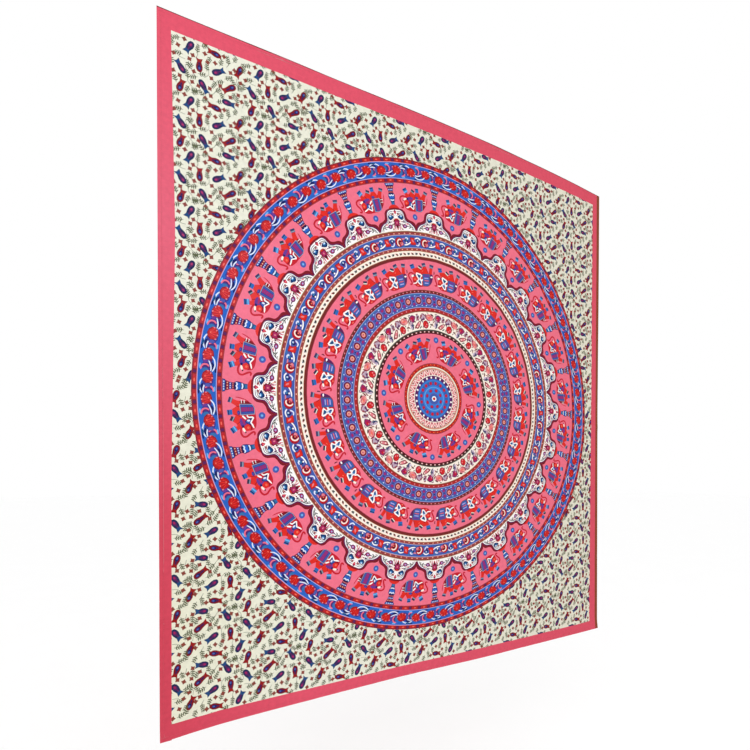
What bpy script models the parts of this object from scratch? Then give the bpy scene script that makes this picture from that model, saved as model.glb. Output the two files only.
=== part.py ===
"""Tapestry wall hanging: one length of printed cotton, hemmed on all four sides.

Frame: the front of the cloth faces -Y, +X runs to the viewer's right and +Z is up. The origin is
the middle of the flat strip on the back of the top hem, the strip that lies against the wall.
All lengths are in metres.
"""

import math

import bpy

# Driving dimensions
SHEET_WIDTH = 2.134       # finished width of the cloth, 84 inches
SHEET_HEIGHT = 2.286      # finished height of the cloth, 90 inches
CLOTH_THICKNESS = 0.0004  # medium cotton sheeting
HEM_WIDTH = 0.014         # from the edge of the cloth to the hem's inner fold
RAW_EDGE_INSET = 0.003    # from the edge of the cloth to the raw edge tucked inside the hem
STITCH_INSET = 0.0025     # from the hem's inner fold to its line of stitches
STITCH_DIP = 0.00015      # how far the stitches pull the hem's outer layer in
STITCH_DIP_WIDTH = 0.0012  # width of the furrow that the stitches pull into the hem
THREAD_DIAMETER = 0.0004  # sewing thread
THREAD_END_INSET = 0.004  # from each end of a hem to the first and last stitch
GAP = 0.0003              # air between one layer of cloth and the next, and under the threads

# Colours, roughness
CRIMSON = (0.66, 0.06, 0.13, 1.0)
ROSE = (0.72, 0.12, 0.20, 1.0)
THREAD_RED = (0.50, 0.03, 0.08, 1.0)
CLOTH_ROUGHNESS = 0.9
THREAD_ROUGHNESS = 0.6

# Depths behind the front of the cloth. The hem's back lies in the plane y = 0.
PITCH = CLOTH_THICKNESS + GAP                       # from one layer to the next
HEM_OUTER_Y = -CLOTH_THICKNESS / 2                  # middle of the hem's outer layer
HEM_INNER_Y = HEM_OUTER_Y - PITCH                   # middle of the layer tucked inside the hem
PANEL_Y = HEM_INNER_Y - PITCH                       # middle of the printed panel
THREAD_STANDOFF = CLOTH_THICKNESS / 2 + GAP + THREAD_DIAMETER / 2

# Heights. The origin is in the middle of the hem's flat strip, between edge fold and furrow.
EDGE_FOLD_RADIUS = PITCH
STITCH_DEPTH = HEM_WIDTH - STITCH_INSET
FLAT_START = EDGE_FOLD_RADIUS
FLAT_END = STITCH_DEPTH - STITCH_DIP_WIDTH / 2
TOP_Z = (FLAT_START + FLAT_END) / 2
MIDDLE_Z = TOP_Z - SHEET_HEIGHT / 2
BOTTOM_Z = TOP_Z - SHEET_HEIGHT

ARC_STEPS = 6


def clear_scene():
    for item in list(bpy.data.objects):
        bpy.data.objects.remove(item, do_unlink=True)


def make_material(name, colour, roughness):
    material = bpy.data.materials.new(name)
    material.use_nodes = True
    shader = material.node_tree.nodes["Principled BSDF"]
    shader.inputs["Base Color"].default_value = colour
    shader.inputs["Roughness"].default_value = roughness
    shader.inputs["Metallic"].default_value = 0.0
    return material


def keep(item, collection, material):
    """Put a finished object in the tapestry's collection, with its one material."""
    for other in list(item.users_collection):
        other.objects.unlink(item)
    collection.objects.link(item)
    item.data.materials.clear()
    item.data.materials.append(material)
    return item


def arc(centre, radius, start_deg, end_deg):
    """Points of an arc in the hem's section, from one angle to the other."""
    points = []
    for step in range(ARC_STEPS + 1):
        angle = math.radians(start_deg + (end_deg - start_deg) * step / ARC_STEPS)
        points.append((centre[0] + radius * math.cos(angle), centre[1] + radius * math.sin(angle)))
    return points


def hem_path():
    """Middle line of the turned cloth, as (distance in from the sheet's edge, y).

    It starts at the raw edge inside the hem, runs in to the inner fold, turns back along the
    outer layer with the stitches' furrow in it, and curls forward to meet the panel's edge.
    """
    fold_radius = PITCH / 2
    fold_centre = (HEM_WIDTH - CLOTH_THICKNESS / 2 - fold_radius, HEM_OUTER_Y - fold_radius)
    curl_radius = EDGE_FOLD_RADIUS - CLOTH_THICKNESS / 2
    curl_centre = (EDGE_FOLD_RADIUS, HEM_OUTER_Y - curl_radius)
    half_dip = STITCH_DIP_WIDTH / 2
    path = [(RAW_EDGE_INSET, HEM_INNER_Y)]
    path += arc(fold_centre, fold_radius, -90, 90)
    path += [
        (STITCH_DEPTH + half_dip, HEM_OUTER_Y),
        (STITCH_DEPTH, HEM_OUTER_Y - STITCH_DIP),
        (STITCH_DEPTH - half_dip, HEM_OUTER_Y),
    ]
    path += arc(curl_centre, curl_radius, 90, 180)
    return path


def offset_outline(path, thickness):
    """Closed outline of a strip of even thickness that follows a path."""
    left, right = [], []
    last = len(path) - 1
    for index, (a, b) in enumerate(path):
        before = path[max(index - 1, 0)]
        after = path[min(index + 1, last)]
        run, rise = after[0] - before[0], after[1] - before[1]
        length = math.hypot(run, rise)
        shift_a, shift_b = -rise / length * thickness / 2, run / length * thickness / 2
        left.append((a + shift_a, b + shift_b))
        right.append((a - shift_a, b - shift_b))
    return left + right[::-1]


def add_panel(collection, material):
    bpy.ops.mesh.primitive_cube_add(size=1.0, location=(0.0, PANEL_Y, MIDDLE_Z))
    panel = bpy.context.object
    panel.name = "printed_panel"
    panel.scale = (SHEET_WIDTH, CLOTH_THICKNESS, SHEET_HEIGHT)
    bpy.ops.object.transform_apply(location=False, rotation=False, scale=True)
    edge = panel.modifiers.new("soft_edge", "BEVEL")
    edge.width = CLOTH_THICKNESS / 4
    edge.segments = 2
    keep(panel, collection, material)


def add_hem(name, length, place, turn, collection, material):
    """A turned hem: its section lies in the local XY plane and is extruded along local Z.

    Local +X points in from the sheet's edge and local +Y to the back. turn is the angle about
    the world's Y axis that brings local +X to the direction from this edge to the middle.
    """
    outline = bpy.data.curves.new(name, "CURVE")
    outline.dimensions = "2D"
    outline.fill_mode = "BOTH"
    outline.extrude = length / 2
    spline = outline.splines.new("POLY")
    points = offset_outline(hem_path(), CLOTH_THICKNESS)
    spline.points.add(len(points) - 1)
    for point, (a, b) in zip(spline.points, points):
        point.co = (a, b, 0.0, 1.0)
    spline.use_cyclic_u = True
    hem = bpy.data.objects.new(name, outline)
    collection.objects.link(hem)
    hem.location = place
    hem.rotation_euler = (0.0, turn, 0.0)
    keep(hem, collection, material)


def add_thread(name, length, place, turn, collection, material):
    """A straight run of sewing thread along local Z, centred on its place."""
    line = bpy.data.curves.new(name, "CURVE")
    line.dimensions = "3D"
    line.bevel_depth = THREAD_DIAMETER / 2
    line.bevel_resolution = 2
    line.use_fill_caps = True
    spline = line.splines.new("POLY")
    spline.points.add(1)
    spline.points[0].co = (0.0, 0.0, -length / 2, 1.0)
    spline.points[1].co = (0.0, 0.0, length / 2, 1.0)
    thread = bpy.data.objects.new(name, line)
    collection.objects.link(thread)
    thread.location = place
    thread.rotation_euler = (0.0, turn, 0.0)
    keep(thread, collection, material)


def main():
    clear_scene()
    tapestry = bpy.data.collections.new("tapestry_wall_hanging")
    bpy.context.scene.collection.children.link(tapestry)
    printed_cotton = make_material("printed_cotton", ROSE, CLOTH_ROUGHNESS)
    hem_cotton = make_material("hem_cotton", CRIMSON, CLOTH_ROUGHNESS)
    sewing_thread = make_material("sewing_thread", THREAD_RED, THREAD_ROUGHNESS)

    add_panel(tapestry, printed_cotton)

    # The top and bottom hems run the full width, and the side hems fit between them.
    side_length = SHEET_HEIGHT - 2 * (HEM_WIDTH + GAP)
    half_width = SHEET_WIDTH / 2
    seams = [
        # side, hem length, edge's middle, direction in from the edge (x, z), turn about Y
        ("top", SHEET_WIDTH, (0.0, TOP_Z), (0, -1), math.pi / 2),
        ("bottom", SHEET_WIDTH, (0.0, BOTTOM_Z), (0, 1), -math.pi / 2),
        ("left", side_length, (-half_width, MIDDLE_Z), (1, 0), 0.0),
        ("right", side_length, (half_width, MIDDLE_Z), (-1, 0), math.pi),
    ]
    needle_y = PANEL_Y - THREAD_STANDOFF
    bobbin_y = HEM_OUTER_Y - STITCH_DIP + THREAD_STANDOFF
    for side, length, (edge_x, edge_z), (in_x, in_z), turn in seams:
        add_hem("hem_" + side, length, (edge_x, 0.0, edge_z), turn, tapestry, hem_cotton)
        stitch_x = edge_x + in_x * STITCH_DEPTH
        stitch_z = edge_z + in_z * STITCH_DEPTH
        run = length - 2 * THREAD_END_INSET
        for kind, y in (("needle", needle_y), ("bobbin", bobbin_y)):
            name = kind + "_thread_" + side
            add_thread(name, run, (stitch_x, y, stitch_z), turn, tapestry, sewing_thread)


main()
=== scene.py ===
# %% [markdown]
# # A block-printed cotton wall hanging
# This lesson dresses one large square of printed cotton, hung flat by its top hem. On the real
# thing a single thin cloth carries the whole picture: a crimson border, a cream field of small
# paisleys, and a wheel of rings with elephants, domes, lotuses and scrolls. Its edges are turned
# back and sewn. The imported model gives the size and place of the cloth, its four hems and
# their threads, so it is loaded first and nothing in it is moved.

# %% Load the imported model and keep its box
import math
import bpy
import numpy as np
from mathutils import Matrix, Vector
from mathutils.bvhtree import BVHTree
from mathutils.geometry import delaunay_2d_cdt


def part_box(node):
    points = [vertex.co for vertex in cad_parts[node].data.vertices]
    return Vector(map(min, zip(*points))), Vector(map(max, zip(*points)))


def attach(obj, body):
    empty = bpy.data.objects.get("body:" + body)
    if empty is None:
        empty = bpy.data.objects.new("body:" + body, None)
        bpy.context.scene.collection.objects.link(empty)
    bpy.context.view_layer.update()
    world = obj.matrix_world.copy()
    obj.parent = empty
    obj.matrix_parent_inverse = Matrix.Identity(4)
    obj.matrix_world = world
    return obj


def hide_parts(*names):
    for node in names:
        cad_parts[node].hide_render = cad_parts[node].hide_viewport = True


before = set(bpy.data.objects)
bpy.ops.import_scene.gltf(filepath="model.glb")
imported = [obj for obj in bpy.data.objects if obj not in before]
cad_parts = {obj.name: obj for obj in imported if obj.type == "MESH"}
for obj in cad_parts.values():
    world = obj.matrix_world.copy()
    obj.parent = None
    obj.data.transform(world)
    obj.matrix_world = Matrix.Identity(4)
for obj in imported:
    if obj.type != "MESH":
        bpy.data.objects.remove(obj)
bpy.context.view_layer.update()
bpy.ops.object.select_all(action="DESELECT")

# %% Where the cloth lies
cloth_lo, cloth_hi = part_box("printed_panel")
MIDDLE_X = (cloth_lo[0] + cloth_hi[0]) / 2
MIDDLE_Z = (cloth_lo[2] + cloth_hi[2]) / 2
CLOTH_Y = (cloth_lo[1] + cloth_hi[1]) / 2
WIDTH = cloth_hi[0] - cloth_lo[0]
HEIGHT = cloth_hi[2] - cloth_lo[2]
LEFT, RIGHT = -WIDTH / 2, WIDTH / 2
BOTTOM, TOP = -HEIGHT / 2, HEIGHT / 2
MM = 0.001
print("cloth", round(WIDTH, 4), "x", round(HEIGHT, 4), "at y", round(CLOTH_Y, 5))

# %% [markdown]
# The camera stands low and to the left, close to the cloth, with a wide lens. Its picture is
# slid a little upwards by the lens shift, as a view camera does, so that the upright edges stay
# upright. The lights are one wide soft lamp from the upper left and the white room itself.

# %% Camera, room and lights
camera = bpy.data.cameras.new("camera")
camera.lens = 22.79
camera.sensor_width = 36.0
camera.shift_y = 0.125
camera_object = bpy.data.objects.new("camera", camera)
camera_object.location = (-1.208, -1.613, -1.411)
camera_object.rotation_euler = (math.radians(89.56), math.radians(0.07), math.radians(-29.49))
bpy.context.scene.collection.objects.link(camera_object)
bpy.context.scene.camera = camera_object
bpy.context.scene.view_settings.view_transform = "Standard"
bpy.context.scene.view_settings.look = "None"

room = bpy.data.worlds.new("white_room")
room.use_nodes = True
room.node_tree.nodes["Background"].inputs["Color"].default_value = (1.0, 1.0, 1.0, 1.0)
room.node_tree.nodes["Background"].inputs["Strength"].default_value = 1.0
bpy.context.scene.world = room

lamp = bpy.data.lights.new("soft_lamp", "AREA")
lamp.shape = "RECTANGLE"
lamp.size, lamp.size_y = 3.0, 2.0
lamp.energy = 30.0
lamp_object = bpy.data.objects.new("soft_lamp", lamp)
lamp_object.location = (-2.6, -3.2, 0.9)
toward = Vector((MIDDLE_X, 0.0, MIDDLE_Z)) - Vector(lamp_object.location)
lamp_object.rotation_euler = toward.to_track_quat("-Z", "Y").to_euler()
bpy.context.scene.collection.objects.link(lamp_object)
print("camera at", tuple(round(c, 3) for c in camera_object.location))

# %% [markdown]
# The floor is a wide sheet of white studio board, level and well below the cloth, so that the
# hanging stands free and its back can be looked at too.

# %% Studio floor
bpy.ops.mesh.primitive_grid_add(x_subdivisions=12, y_subdivisions=12, size=60.0,
                                location=(0.0, 0.0, cloth_lo[2] - 0.9))
floor = bpy.context.object
floor.name = "studio_floor"
bpy.ops.object.transform_apply(location=True, rotation=True, scale=True)
floor_paint = bpy.data.materials.new("white_board")
floor_paint.use_nodes = True
tree = floor_paint.node_tree
grain = tree.nodes.new("ShaderNodeTexNoise")
grain.inputs["Scale"].default_value = 3.0
shade = tree.nodes.new("ShaderNodeValToRGB")
shade.color_ramp.elements[0].color = (0.985, 0.985, 0.985, 1.0)
shade.color_ramp.elements[1].color = (1.0, 1.0, 1.0, 1.0)
place = tree.nodes.new("ShaderNodeTexCoord")
tree.links.new(place.outputs["Object"], grain.inputs["Vector"])
tree.links.new(grain.outputs["Fac"], shade.inputs["Fac"])
tree.links.new(shade.outputs["Color"], tree.nodes["Principled BSDF"].inputs["Base Color"])
tree.nodes["Principled BSDF"].inputs["Roughness"].default_value = 0.9
floor.data.materials.append(floor_paint)
bpy.ops.object.select_all(action="DESELECT")
print("floor at z", round(cloth_lo[2] - 0.9, 3))

# %% [markdown]
# A big cotton sheet is never quite square once it hangs. Pulled by its hem, the top edge of
# this one rises in the middle and the bottom edge lifts a little on the left. Both edges are
# soft curves through a few heights, and everything that follows an edge asks these curves.

# %% The line of the top and bottom edges
ALONG = np.linspace(0.0, 1.0, 401)


def soft_curve(stations, heights, softness=0.07):
    """Joins a few heights with a line and rounds its corners."""
    padded = np.linspace(-0.5, 1.5, 801)
    line = np.interp(padded, stations, heights)
    reach = int(softness * 400)
    bell = np.hanning(2 * reach + 1)
    rounded = np.convolve(line, bell / bell.sum(), mode="same")
    return rounded[200:601]


top_rise = soft_curve([0, 0.15, 0.30, 0.48, 0.62, 0.78, 0.90, 1],
                      [0, 7, 15, 24, 28, 26, 15, 0]) * MM
bottom_rise = soft_curve([0, 0.06, 0.15, 0.43, 0.6, 0.8, 1], [0, 13, 17, 16, 5, 2, 0]) * MM


def edge_height(x, at_top):
    """Height of the top or the bottom edge at x, from the middle of the cloth."""
    u = (x - LEFT) / WIDTH
    if at_top:
        return TOP + float(np.interp(u, ALONG, top_rise))
    return BOTTOM + float(np.interp(u, ALONG, bottom_rise))


print("top edge rises by up to", round(float(top_rise.max()) / MM, 1), "mm")

# %% [markdown]
# The print is painted the way a printer lays down blocks, one flat patch of dye after another,
# each over the last. The patches are only outlines on paper at first. Later one triangulation
# cuts the cloth along all of them at once, so that every dye has a crisp edge in the mesh
# itself. The first tools are a soft closed curve, an oval, a brush stroke and a leaf. A motif
# is a list of them, in millimetres, with x along the ring and y outwards.

# %% Brushes
def soft(points, steps=2, closed=True):
    """A smooth line through a few points."""
    count = len(points)
    line = []
    spans = count if closed else count - 1
    for i in range(spans):
        if closed:
            a, b, c, d = (points[(i + k) % count] for k in (-1, 0, 1, 2))
        else:
            a, b, c, d = (points[min(max(i + k, 0), count - 1)] for k in (-1, 0, 1, 2))
        for s in range(steps):
            t = s / steps
            line.append(tuple(
                0.5 * (2 * q + (r - p) * t + (2 * p - 5 * q + 4 * r - e) * t * t
                       + (3 * q - p - 3 * r + e) * t ** 3)
                for p, q, r, e in zip(a, b, c, d)))
    if not closed:
        line.append(points[-1])
    return line


def blob(dye, *points):
    return (dye, soft(points))


def patch(dye, *points):
    return (dye, list(points))


def oval(dye, x, y, rx, ry=None, turn=0.0, sides=8):
    ry = rx if ry is None else ry
    c, s = math.cos(math.radians(turn)), math.sin(math.radians(turn))
    ring = [2 * math.pi * (k + 0.5) / sides for k in range(sides)]
    spots = [(rx * math.cos(a), ry * math.sin(a)) for a in ring]
    return (dye, [(x + c * p - s * q, y + s * p + c * q) for p, q in spots])


def dot(dye, x, y, rx, ry=None):
    return oval(dye, x, y, rx, ry, sides=6)


def stroke(dye, width, *points, tip=0.45):
    """A brush line that thins towards both ends."""
    line = soft(points, steps=2, closed=False) if len(points) > 2 else list(points)
    left, right = [], []
    for i, (x, y) in enumerate(line):
        x0, y0 = line[max(i - 1, 0)]
        x1, y1 = line[min(i + 1, len(line) - 1)]
        run = math.hypot(x1 - x0, y1 - y0) or 1.0
        half = width / 2 * (tip if i in (0, len(line) - 1) else 1.0)
        nx, ny = -(y1 - y0) / run * half, (x1 - x0) / run * half
        left.append((x + nx, y + ny))
        right.append((x - nx, y - ny))
    return (dye, left + right[::-1])


def leaf(dye, x0, y0, x1, y1, width):
    """A leaf from one tip to the other."""
    nx, ny = (y0 - y1), (x1 - x0)
    run = math.hypot(nx, ny) or 1.0
    nx, ny = nx / run * width / 2, ny / run * width / 2
    a = (x0 + (x1 - x0) * 0.35, y0 + (y1 - y0) * 0.35)
    b = (x0 + (x1 - x0) * 0.7, y0 + (y1 - y0) * 0.7)
    return (dye, [(x0, y0), (a[0] + nx, a[1] + ny), (b[0] + nx * 0.8, b[1] + ny * 0.8), (x1, y1),
                  (b[0] - nx * 0.8, b[1] - ny * 0.8), (a[0] - nx, a[1] - ny)])


def mirrored(marks):
    return [(dye, [(-x, y) for x, y in outline]) for dye, outline in marks]


def moved(marks, dx=0.0, dy=0.0, turn=0.0):
    c, s = math.cos(math.radians(turn)), math.sin(math.radians(turn))
    return [(dye, [(dx + c * x - s * y, dy + s * x + c * y) for x, y in outline])
            for dye, outline in marks]


print("brushes: blob, patch, oval, stroke, leaf")

# %% [markdown]
# The dyes are the few pots a printer would mix: reds from madder, indigo blues, their overlaps,
# iron black and the bare cream cotton. Each is named once and given as the eye sees it.

# %% Dye pots
DYES = {
    "cream": (229, 229, 213), "ivory": (250, 240, 228), "white": (252, 250, 250),
    "crimson_border": (220, 82, 104), "salmon": (238, 115, 139), "dusty": (150, 62, 68),
    "red": (222, 44, 36), "scarlet": (190, 26, 26), "crimson": (196, 30, 46), "maroon": (124, 24, 38),
    "wine": (88, 18, 34), "brown": (104, 52, 42), "umber": (66, 30, 24), "tan": (196, 150, 110),
    "gold": (176, 120, 66), "peach": (240, 168, 146), "pink": (238, 110, 136), "rose": (226, 130, 140),
    "magenta": (168, 38, 96), "coral": (240, 104, 84), "orange": (238, 110, 60), "royal": (42, 98, 192),
    "azure": (58, 124, 212), "sky": (110, 176, 236), "pale_blue": (196, 214, 246),
    "blue": (56, 92, 172), "violet_blue": (78, 88, 168), "indigo": (62, 56, 140), "navy": (24, 34, 96),
    "teal": (22, 78, 128), "teal_blue": (52, 112, 172), "lilac": (172, 170, 228),
    "purple": (104, 58, 146), "plum": (92, 34, 92), "slate": (74, 84, 112), "steel": (140, 156, 180),
    "blue_white": (222, 230, 252), "charcoal": (62, 62, 60), "moss": (96, 98, 74),
    "olive": (150, 116, 60), "paisley_red": (122, 18, 28), "paisley_navy": (34, 42, 84),
    "tail_red": (150, 28, 26), "tail_blue": (34, 72, 124), "ash": (112, 118, 96), "fern": (88, 94, 68),
    "dusty_brown": (136, 66, 56), "rust": (136, 68, 34), "mauve": (190, 166, 186),
    "brick": (170, 40, 42),
}


def linear(value):
    value /= 255.0
    return value / 12.92 if value <= 0.04045 else ((value + 0.055) / 1.055) ** 2.4


DYE_NAMES = list(DYES)
DYE_COLOURS = np.array([[linear(v) for v in DYES[name]] + [1.0] for name in DYE_NAMES])
print(len(DYES), "dyes")

# %% [markdown]
# The printing table. Patches go down in order. Rings are not quite true circles on real cloth,
# which is pulled about as it is stretched and hung. So everything in the wheel is moved a few
# millimetres by one smooth pull: a shift, a slight turn, and bends that grow towards the rim. Its
# ten sizes, in millimetres, are the result of a least-squares fit made outside this script. They
# were not chosen by hand.

# %% Printing table
printed = []
PULL_RADIUS = 0.9
PULL = ((0, 0, -12.4 + 3.5j), (1, 0, 0.6 - 7.6j), (0, 1, 2.0j), (0, 2, 2.0 - 7.6j),
        (2, 0, -1.3 - 4.7j), (1, 1, 3.5 - 5.7j), (3, 0, -0.3 - 3.2j), (2, 1, -3.6 - 6.0j),
        (1, 2, 1.9 - 2.4j), (0, 3, 0.8 - 0.5j))


def on_wheel(radius, angle):
    """A point of the wheel, moved by the pull of the hung cloth."""
    z = radius * complex(math.cos(angle), math.sin(angle))
    part = z / PULL_RADIUS
    back = part.conjugate()
    z += sum(size * MM * part ** m * back ** n for m, n, size in PULL)
    return (z.real, z.imag)


def disc(dye, radius, sides=180):
    printed.append((dye, [on_wheel(radius, 2 * math.pi * k / sides) for k in range(sides)]))


def rings(*discs, sides=180):
    """Lays discs over each other, the widest first."""
    for dye, radius in discs:
        disc(dye, radius, sides)


def around(marks, count, base, middle=None, first=0.0):
    """Prints a motif count times. base is the radius of its y = 0, middle the one its x follows."""
    middle = middle or base
    for k in range(count):
        turn = math.radians(first + 360.0 * k / count)
        for dye, outline in marks:
            printed.append((dye, [on_wheel(base + y * MM, turn + x * MM / middle)
                                  for x, y in outline]))


print("wheel centre", [round(v, 4) for v in on_wheel(0.0, 0.0)])

# %% [markdown]
# The whole cloth is cream cotton first. The field outside the wheel carries one repeat of small
# paisleys, four-petalled flowers and leaf sprigs, 224 mm wide and 174 mm high. The printer
# turned the block half round for the lower half of the cloth, so the repeat is stamped once
# from the top left corner and once more from the bottom right.

# %% The field block
REPEAT_WIDTH, REPEAT_HEIGHT = 224.0, 174.0
FIELD_LEFT, FIELD_TOP = 30.0, 55.0


def paisley(x0, y0, x1, y1, edge, tail, heart, core):
    """A fish-shaped paisley from its round head to its forked tail."""
    run = math.hypot(x1 - x0, y1 - y0)
    turn = math.degrees(math.atan2(y1 - y0, x1 - x0))
    half = [(-11.5, 0), (-9, 6.5), (-1.5, 10.2), (8, 10.6), (16, 8.6), (run - 9, 7.0),
            (run + 3, 11.0), (run - 1, 2.5)]
    outline = half + [(x, -y * 0.92) for x, y in half[-2::-1]][:-1]
    fin = [(run - 12, 5.6), (run + 1, 8.6), (run - 2, 1.5), (run + 1, -8.0), (run - 12, -5.2)]
    marks = [patch(edge, *outline), patch(tail, *fin), dot(heart, 3.5, 0, 9.0, 6.2),
             dot(core, 1.5, 0, 4.6, 3.0), leaf(heart, 11, 0.5, run - 9, 1.0, 4.4)]
    return moved(marks, x0, y0, turn)


def little_flower(x, y, size=9.0, dye="dusty_brown"):
    spots = []
    for k in range(8):
        a = math.radians(45 * k + 20 + 3 * x)
        r = size if k % 2 == 0 else size * 0.58
        spots.append((x + r * math.cos(a), y + r * math.sin(a)))
    return [patch(dye, *spots)]


def sprig(x, y, turn, leaves=3, dye="fern"):
    """A spray of short leaves on both sides of a stem, cut as one jagged outline."""
    edge = [(-5.0, 0.6)]
    for k in range(leaves):
        at, long = 6.2 * k, 1.0 - 0.12 * k
        edge += [(at, 0.7), (at + 3.4, 7.4 * long), (at + 6.8, 7.8 * long), (at + 4.0, 0.8)]
    edge.append((6.2 * leaves + 4.0, 0.0))
    return moved([patch(dye, *(edge + [(x - 1.4, -y) for x, y in edge[-2::-1]]))], x, y, turn)


print("field repeat", REPEAT_WIDTH, "x", REPEAT_HEIGHT, "mm")

# %% What one repeat of the field holds
field = []
for line in (((86, -20), (90, -44), (84, -58)), ((52, -92), (58, -118), (60, -140), (80, -160)),
             ((122, -72), (124, -96), (110, -110)), ((150, -130), (140, -150), (128, -158)),
             ((180, -50), (190, -30), (186, -8)), ((20, -60), (34, -72), (52, -74)),
             ((196, -100), (210, -92), (214, -74)), ((8, -164), (14, -144), (30, -138))):
    field.append([stroke("ash", 1.3, *line, tip=1.0)])
for x, y, turn, leaves in ((33, -14, 200, 3), (88, -36, 80, 4), (104, -12, 20, 3), (128, -40, 250, 3),
                           (160, -48, 70, 3), (186, -36, 100, 4), (204, -20, 60, 3), (40, -62, 180, 3),
                           (64, -96, 60, 3), (62, -82, 260, 2), (118, -82, 90, 4), (146, -112, 240, 4),
                           (178, -88, 30, 4), (218, -102, 75, 3), (60, -128, 100, 4), (84, -118, 200, 3),
                           (24, -152, 110, 3), (62, -158, 240, 3), (148, -140, 45, 3),
                           (164, -140, 280, 3),
                           (152, -172, 20, 2), (88, -160, 190, 3), (214, -152, 90, 3),
                           (206, -128, 250, 3),
                           (12, -100, 90, 3), (106, -168, 140, 3), (8, -44, 60, 3), (96, -104, 10, 3),
                           (168, -102, 200, 3), (196, -84, 310, 3), (236, -18, 250, 3),
                           (74, -172, 20, 3),
                           (232, -102, 200, 3)):
    field.append(sprig(x, y, turn, leaves))
for x, y in ((31, -38), (65, -68), (75, -53), (144, -50), (120, -57), (112, -33), (193, -63),
             (172, -18), (226, -84), (78, -103), (17, -122), (73, -138), (127, -139), (132, -104),
             (218, -127), (192, -144), (229, -145), (130, -162), (50, -12), (113, -175),
             (18, -68), (158, -24), (206, -50), (160, -118), (92, -144), (214, -160), (36, -132)):
    field.append(little_flower(x, y))
for spot in ((70, -21, 54, -49), (144, -81, 172, -64), (45, -111, 27, -86), (101, -131, 118, -158),
             (176, -165, 205, -167)):
    field.append(paisley(*spot, "paisley_navy", "tail_blue", "plum", "magenta"))
for spot in ((151, -21, 122, -17), (226, -38, 211, -68), (95, -88, 95, -57), (200, -108, 169, -131),
             (35, -172, 46, -143)):
    field.append(paisley(*spot, "paisley_red", "tail_red", "navy", "violet_blue"))
print(len(field), "motifs in one repeat")

# %% Print the field
WHEEL_EDGE = 0.964
WHEEL_OFF_X, WHEEL_OFF_Z = -0.0095, 0.0029
HALF_MOTIF = 0.016
SIDE_GAP, END_GAP = 0.004, 0.020


def field_spot(x, y, column, row, sign):
    """A point of the repeat on the cloth. sign is 1 above the middle and -1 below it."""
    px = LEFT + (FIELD_LEFT + column * REPEAT_WIDTH + x) * MM
    pz = TOP - (FIELD_TOP + row * REPEAT_HEIGHT - y) * MM
    return (sign * px, sign * pz)


def shows(outline, sign):
    """True for a motif that lies in its own half, mostly clear of the wheel and inside the cloth."""
    xs = [p[0] for p in outline]
    zs = [p[1] for p in outline]
    x, z = sum(xs) / len(xs) - WHEEL_OFF_X, sum(zs) / len(zs) - WHEEL_OFF_Z
    inside = max(abs(min(xs)), abs(max(xs))) < RIGHT - SIDE_GAP
    inside = inside and max(abs(min(zs)), abs(max(zs))) < TOP - END_GAP
    far = math.hypot(x, z) > WHEEL_EDGE - HALF_MOTIF
    return sign * z > 0.002 and inside and far


cloth_edge = [(x, edge_height(x, False)) for x in np.linspace(LEFT, RIGHT, 73)]
cloth_edge += [(RIGHT, z) for z in np.linspace(BOTTOM, TOP, 78)[1:-1]]
cloth_edge += [(x, edge_height(x, True)) for x in np.linspace(RIGHT, LEFT, 73)]
cloth_edge += [(LEFT, z) for z in np.linspace(TOP, BOTTOM, 78)[1:-1]]
printed.append(("cream", [(float(x), float(z)) for x, z in cloth_edge]))
for sign in (1, -1):
    for column in range(-1, 10):
        for row in range(-1, 7):
            for motif in field:
                placed = [(dye, [field_spot(x, y, column, row, sign) for x, y in outline])
                          for dye, outline in motif]
                if shows(placed[0][1], sign):
                    printed.extend(placed)
print(len(printed), "patches in the field")

# %% [markdown]
# The border is four bands of crimson round the field. Their inner lines wander, because the
# blocks were laid by eye: wide at the top, narrow at the lower left. A rusty brown strip runs
# along the right edge, and a fine brown line along the top is painted shade at that edge.

# %% Border
RUST_STRIP = 0.020
# Width of the fine brown band of painted shade along the top edge.
TOP_EDGE_PAINTED_SHADE = 0.0028


def band(dye, outer, inner):
    printed.append((dye, [(float(x), float(z)) for x, z in list(outer) + list(inner)[::-1]]))


along = np.linspace(0.0, 1.0, 25)
xs = LEFT + along * WIDTH
zs = BOTTOM + along * HEIGHT
top_width = np.interp(along, [0, 0.3, 0.6, 1], [58, 62, 64, 60]) * MM
bottom_width = np.interp(along, [0, 0.3, 0.6, 1], [46, 42, 44, 48]) * MM
left_width = np.interp(along, [0, 0.37, 0.7, 1], [34, 37, 51, 40]) * MM
right_width = np.interp(along, [0, 0.35, 1], [66, 62, 53]) * MM
top_line = [(x, edge_height(x, True)) for x in xs]
bottom_line = [(x, edge_height(x, False)) for x in xs]
band("crimson_border", top_line, [(x, z - w) for (x, z), w in zip(top_line, top_width)])
band("crimson_border", [(x, z + w) for (x, z), w in zip(bottom_line, bottom_width)], bottom_line)
side_ends = [edge_height(LEFT, False), edge_height(LEFT, True)]
side_z = [float(np.interp(t, [0, 1], side_ends)) for t in along]
left_line, right_line = [(LEFT, z) for z in side_z], [(RIGHT, z) for z in side_z]
band("crimson_border", [(LEFT + w, z) for w, z in zip(left_width, side_z)], left_line)
band("crimson_border", right_line, [(RIGHT - w, z) for w, z in zip(right_width, side_z)])
band("rust", right_line, [(RIGHT - RUST_STRIP, z) for z in side_z])
# The fine brown line along the top edge is painted shade, laid down as a brown band.
band("brown", top_line, [(x, z - TOP_EDGE_PAINTED_SHADE) for x, z in top_line])
widths = (top_width, bottom_width, left_width, right_width)
print("border widths", [round(float(w[0]) / MM) for w in widths])

# %% [markdown]
# Now the wheel, from the rim inwards. Each ring is a disc laid over the last, so only its
# outermost few millimetres stay in sight, and then its motif is stamped round. The two bead
# rows that hold the royal blue lotus band have 120 red blocks with a lit heart between small
# plum squares.

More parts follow.
